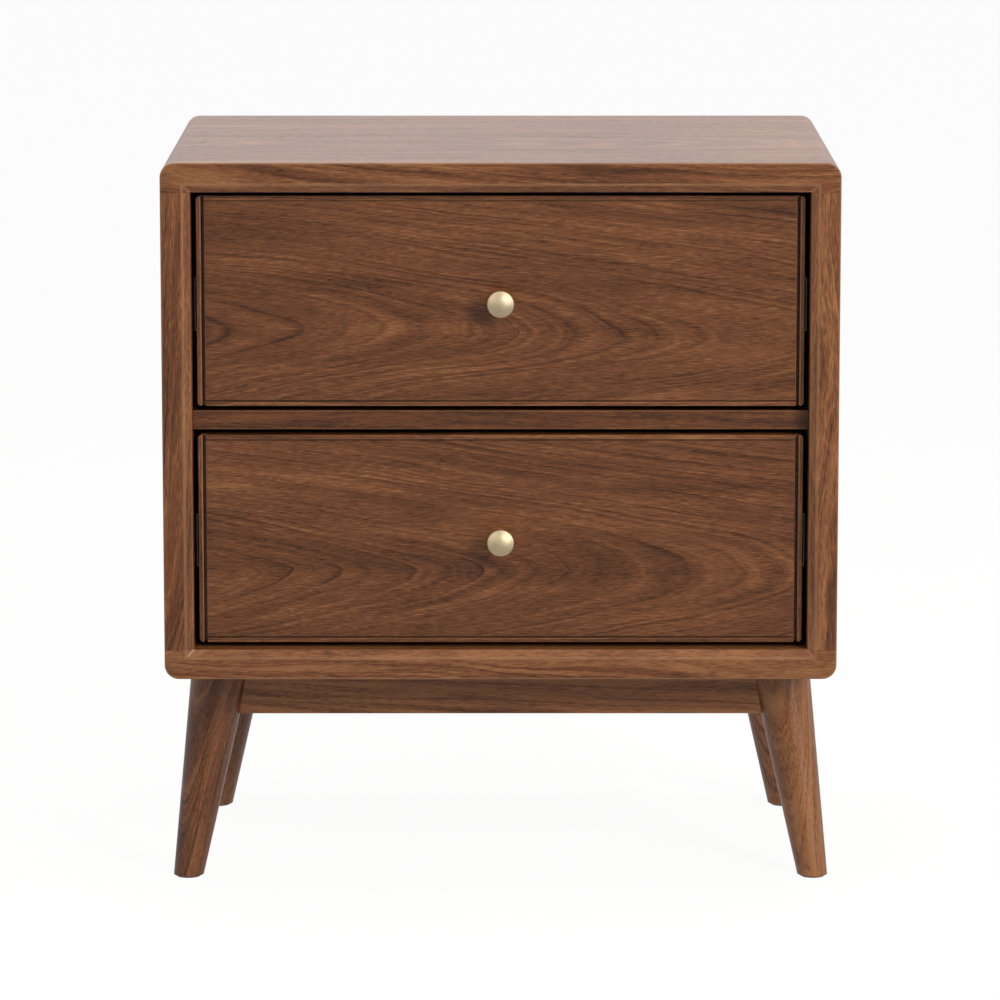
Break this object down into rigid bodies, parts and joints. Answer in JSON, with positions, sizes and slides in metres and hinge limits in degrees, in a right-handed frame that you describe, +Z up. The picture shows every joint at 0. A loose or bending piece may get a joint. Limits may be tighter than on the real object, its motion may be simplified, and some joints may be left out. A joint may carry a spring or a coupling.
{
  "type": "nightstand",
  "caption": "Walnut nightstand: a round-cornered case with a bevelled mouth, inset drawers on full-extension slides with small brass knobs, and splayed tapered legs joined by aprons.",
  "frame": {"origin": "on the floor, under the middle of the whole piece", "axes": "+Z up, +Y towards the wall behind it (the drawers open towards -Y), +X to the right of someone facing the drawers"},
  "size_m": [0.56, 0.41, 0.615],
  "materials": {
    "walnut": "solid walnut, satin lacquer",
    "walnut_veneer": "crown-cut walnut veneer, satin lacquer",
    "birch_ply": "birch plywood, clear lacquer",
    "brass": "satin brass",
    "zinc_steel": "zinc-plated rolled steel",
    "black_nylon": "moulded nylon"
  },
  "bodies": {
    "case": {"back_panel": "walnut_veneer", "bottom_panel": "walnut", "divider_rail": "walnut", "front_apron": "walnut", "front_left_corner_block": "walnut", "front_left_glide": "black_nylon", "front_left_leg": "walnut", "front_right_corner_block": "walnut", "front_right_glide": "black_nylon", "front_right_leg": "walnut", "left_apron": "walnut", "left_side_panel": "walnut", "lower_drawer_left_slide_case_member": "zinc_steel", "lower_drawer_right_slide_case_member": "zinc_steel", "rear_apron": "walnut", "rear_left_corner_block": "walnut", "rear_left_glide": "black_nylon", "rear_left_leg": "walnut", "rear_right_corner_block": "walnut", "rear_right_glide": "black_nylon", "rear_right_leg": "walnut", "right_apron": "walnut", "right_side_panel": "walnut", "top_panel": "walnut", "upper_drawer_left_slide_case_member": "zinc_steel", "upper_drawer_right_slide_case_member": "zinc_steel"},
    "upper_drawer": {"upper_drawer_bottom_lip": "walnut", "upper_drawer_box_back": "birch_ply", "upper_drawer_box_bottom": "birch_ply", "upper_drawer_box_front": "birch_ply", "upper_drawer_box_left_side": "birch_ply", "upper_drawer_box_right_side": "birch_ply", "upper_drawer_front_panel": "walnut_veneer", "upper_drawer_knob": "brass", "upper_drawer_knob_screw": "zinc_steel", "upper_drawer_left_lip": "walnut", "upper_drawer_left_slide_drawer_member": "zinc_steel", "upper_drawer_right_lip": "walnut", "upper_drawer_right_slide_drawer_member": "zinc_steel", "upper_drawer_top_lip": "walnut"},
    "upper_drawer_left_middle": {"upper_drawer_left_slide_middle_member": "zinc_steel"},
    "upper_drawer_right_middle": {"upper_drawer_right_slide_middle_member": "zinc_steel"},
    "lower_drawer": {"lower_drawer_bottom_lip": "walnut", "lower_drawer_box_back": "birch_ply", "lower_drawer_box_bottom": "birch_ply", "lower_drawer_box_front": "birch_ply", "lower_drawer_box_left_side": "birch_ply", "lower_drawer_box_right_side": "birch_ply", "lower_drawer_front_panel": "walnut_veneer", "lower_drawer_knob": "brass", "lower_drawer_knob_screw": "zinc_steel", "lower_drawer_left_lip": "walnut", "lower_drawer_left_slide_drawer_member": "zinc_steel", "lower_drawer_right_lip": "walnut", "lower_drawer_right_slide_drawer_member": "zinc_steel", "lower_drawer_top_lip": "walnut"},
    "lower_drawer_left_middle": {"lower_drawer_left_slide_middle_member": "zinc_steel"},
    "lower_drawer_right_middle": {"lower_drawer_right_slide_middle_member": "zinc_steel"}
  },
  "joints": [
    {"name": "upper_drawer_slide", "type": "slide", "parent": "case", "child": "upper_drawer", "axis": [0, -1, 0], "range_m": [0, 0.29]},
    {"name": "upper_drawer_left_middle_slide", "type": "slide", "parent": "case", "child": "upper_drawer_left_middle", "axis": [0, -1, 0], "range_m": [0, 0.145]},
    {"name": "upper_drawer_right_middle_slide", "type": "slide", "parent": "case", "child": "upper_drawer_right_middle", "axis": [0, -1, 0], "range_m": [0, 0.145]},
    {"name": "lower_drawer_slide", "type": "slide", "parent": "case", "child": "lower_drawer", "axis": [0, -1, 0], "range_m": [0, 0.29]},
    {"name": "lower_drawer_left_middle_slide", "type": "slide", "parent": "case", "child": "lower_drawer_left_middle", "axis": [0, -1, 0], "range_m": [0, 0.145]},
    {"name": "lower_drawer_right_middle_slide", "type": "slide", "parent": "case", "child": "lower_drawer_right_middle", "axis": [0, -1, 0], "range_m": [0, 0.145]}
  ],
  "couplings": [
    {"joint": "upper_drawer_left_middle_slide", "follows": "upper_drawer_slide", "ratio": 0.5},
    {"joint": "upper_drawer_right_middle_slide", "follows": "upper_drawer_slide", "ratio": 0.5},
    {"joint": "lower_drawer_left_middle_slide", "follows": "lower_drawer_slide", "ratio": 0.5},
    {"joint": "lower_drawer_right_middle_slide", "follows": "lower_drawer_slide", "ratio": 0.5}
  ]
}
